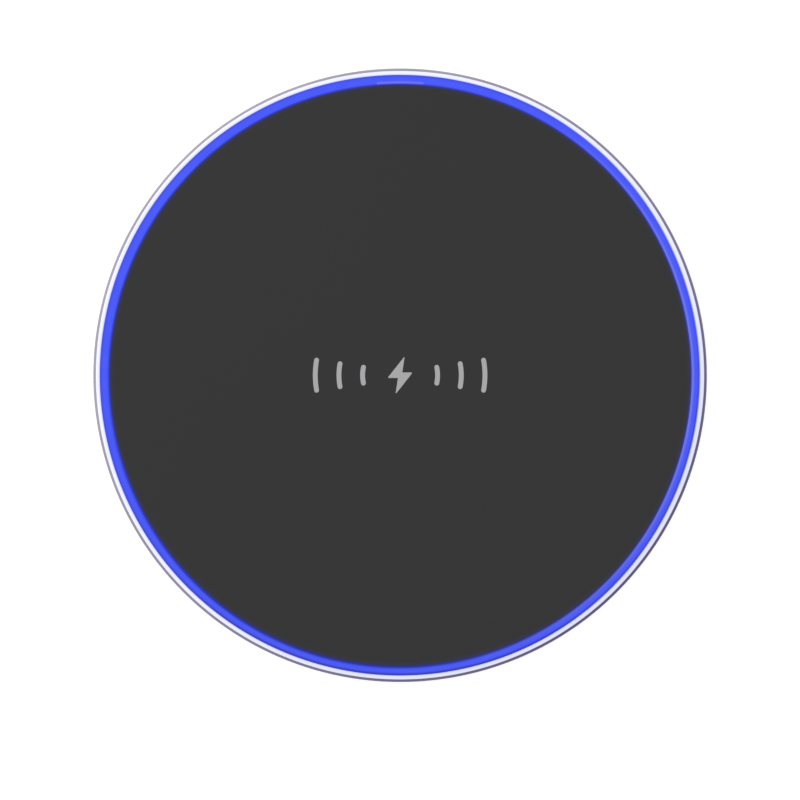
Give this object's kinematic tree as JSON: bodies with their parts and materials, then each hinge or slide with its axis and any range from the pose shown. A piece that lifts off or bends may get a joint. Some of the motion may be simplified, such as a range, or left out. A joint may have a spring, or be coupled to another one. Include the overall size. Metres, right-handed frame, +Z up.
{
  "type": "wireless charging pad",
  "caption": "Slim round wireless charging pad with a dark soft-touch disc, a glowing light ring, a bevelled metal rim and a power socket in the edge.",
  "frame": {"origin": "on the resting plane, at the centre of the anti-slip foot", "axes": "+Z up through the charging face, +Y towards the power socket"},
  "size_m": [0.1, 0.1, 0.0075],
  "materials": {
    "rim_frame": "satin",
    "base_cover": "matte",
    "foot_adhesive": "matte",
    "foot_ring": "matte",
    "case_screws": "satin",
    "main_board": "satin",
    "usb_shell": "satin",
    "usb_contacts": "polished",
    "usb_insulator": "matte",
    "transmitter_coil": "satin",
    "coil_adhesive": "matte",
    "ferrite_shield": "matte",
    "ferrite_adhesive": "matte",
    "coil_foam_pad": "matte",
    "thermistor_bead": "gloss",
    "thermistor_leads": "satin",
    "light_ring": "satin",
    "top_plate": "matte",
    "disc_adhesive": "matte",
    "charging_mark": "matte",
    "charging_disc": "matte",
    "controller_chip": "matte",
    "controller_pads": "satin",
    "driver_chips": "matte",
    "driver_leads": "satin",
    "regulator_chip": "matte",
    "regulator_leads": "satin",
    "capacitor_bodies": "satin",
    "capacitor_terminals": "satin",
    "resistor_bodies": "satin",
    "resistor_terminals": "satin",
    "led_packages": "satin",
    "led_lenses": "gloss",
    "led_terminals": "satin",
    "solder_joints": "polished"
  },
  "bodies": {
    "root": {"rim_frame": "rim_frame", "base_cover": "base_cover", "foot_adhesive": "foot_adhesive", "foot_ring": "foot_ring", "case_screws": "case_screws", "main_board": "main_board", "usb_shell": "usb_shell", "usb_contacts": "usb_contacts", "usb_insulator": "usb_insulator", "transmitter_coil": "transmitter_coil", "coil_adhesive": "coil_adhesive", "ferrite_shield": "ferrite_shield", "ferrite_adhesive": "ferrite_adhesive", "coil_foam_pad": "coil_foam_pad", "thermistor_bead": "thermistor_bead", "thermistor_leads": "thermistor_leads", "light_ring": "light_ring", "top_plate": "top_plate", "disc_adhesive": "disc_adhesive", "charging_mark": "charging_mark", "charging_disc": "charging_disc", "controller_chip": "controller_chip", "controller_pads": "controller_pads", "driver_chips": "driver_chips", "driver_leads": "driver_leads", "regulator_chip": "regulator_chip", "regulator_leads": "regulator_leads", "capacitor_bodies": "capacitor_bodies", "capacitor_terminals": "capacitor_terminals", "resistor_bodies": "resistor_bodies", "resistor_terminals": "resistor_terminals", "led_packages": "led_packages", "led_lenses": "led_lenses", "led_terminals": "led_terminals", "solder_joints": "solder_joints"}
  },
  "joints": []
}
